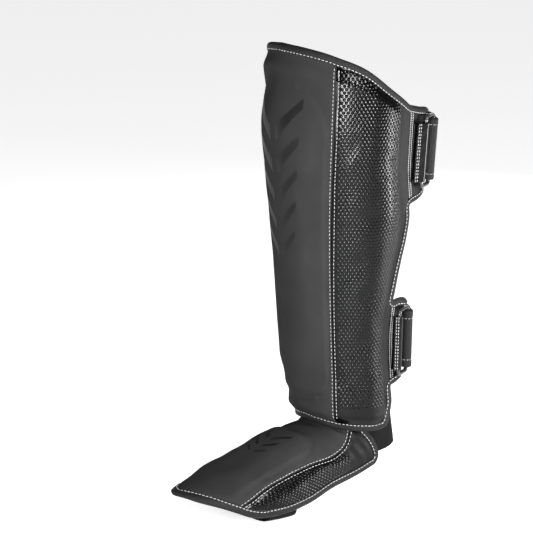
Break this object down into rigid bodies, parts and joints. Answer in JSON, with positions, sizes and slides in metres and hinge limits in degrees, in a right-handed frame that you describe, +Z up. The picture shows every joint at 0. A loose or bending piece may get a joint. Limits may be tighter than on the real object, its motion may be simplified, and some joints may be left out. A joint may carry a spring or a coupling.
{
  "type": "shin guard",
  "caption": "Padded shin guard with side wings, a hinged instep guard, rear hook-and-loop straps through rings, and elastic ankle and sole bands.",
  "frame": {"origin": "on the leg's axis, level with the ground under the foot", "axes": "+Z up the leg, -Y towards the toe, +X towards the side where the rings are"},
  "size_m": [0.1374, 0.2859, 0.4459],
  "materials": {
    "matte_skin": "matte coated fabric",
    "gloss_skin": "glossy embossed coated fabric",
    "binding_tape": "fine twill tape",
    "foam": "closed-cell foam",
    "lining_cloth": "brushed knit",
    "elastic": "ribbed elastic",
    "webbing": "soft loop-faced elastic webbing",
    "ring_plastic": "moulded, satin",
    "loop_tape": "loop pile",
    "hook_tape": "hook tape"
  },
  "bodies": {
    "shin": {"shin_lining": "lining_cloth", "shin_foam_base": "foam", "shin_foam_core": "foam", "shin_front_panel": "matte_skin", "shin_side_panel_right": "gloss_skin", "shin_side_panel_left": "gloss_skin", "shin_binding": "binding_tape", "ankle_bridge": "elastic", "upper_ring_tab": "gloss_skin", "upper_strap_tab": "gloss_skin", "upper_ring_sleeve": "gloss_skin", "upper_strap": "webbing", "upper_loop_patch": "loop_tape", "lower_ring_tab": "gloss_skin", "lower_strap_tab": "gloss_skin", "lower_ring_sleeve": "gloss_skin", "lower_strap": "webbing", "lower_loop_patch": "loop_tape"},
    "upper_ring": {"upper_ring": "ring_plastic"},
    "lower_ring": {"lower_ring": "ring_plastic"},
    "upper_strap_end": {"upper_strap_end": "webbing", "upper_hook_patch": "hook_tape"},
    "lower_strap_end": {"lower_strap_end": "webbing", "lower_hook_patch": "hook_tape"},
    "instep": {"instep_lining": "lining_cloth", "instep_foam_base": "foam", "instep_foam_pad": "foam", "instep_front_panel": "matte_skin", "instep_side_panel_right": "gloss_skin", "instep_side_panel_left": "gloss_skin", "instep_binding": "binding_tape", "ankle_strap": "elastic", "sole_strap": "elastic"}
  },
  "joints": [
    {"name": "ankle_flex", "type": "hinge", "parent": "shin", "child": "instep", "pos_m": [0, -0.044, 0.103], "axis": [1, 0, 0], "range_deg": [-2, 20], "deforming": ["ankle_bridge"]},
    {"name": "upper_ring_swing", "type": "hinge", "parent": "shin", "child": "upper_ring", "pos_m": [0.05925, 0.028, 0.34641], "axis": [0.0586, 0.0373, 0.9976], "range_deg": [-2, 2]},
    {"name": "upper_strap_peel", "type": "hinge", "parent": "shin", "child": "upper_strap_end", "pos_m": [0.04659, 0.05194, 0.34613], "axis": [-0.0586, -0.0373, -0.9976], "range_deg": [0, 110]},
    {"name": "lower_ring_swing", "type": "hinge", "parent": "shin", "child": "lower_ring", "pos_m": [0.0491, 0.00917, 0.16482], "axis": [0.0191, 0.0108, 0.9998], "range_deg": [-2, 2]},
    {"name": "lower_strap_peel", "type": "hinge", "parent": "shin", "child": "lower_strap_end", "pos_m": [0.0371, 0.03376, 0.16477], "axis": [-0.0191, -0.0108, -0.9998], "range_deg": [0, 110]}
  ]
}
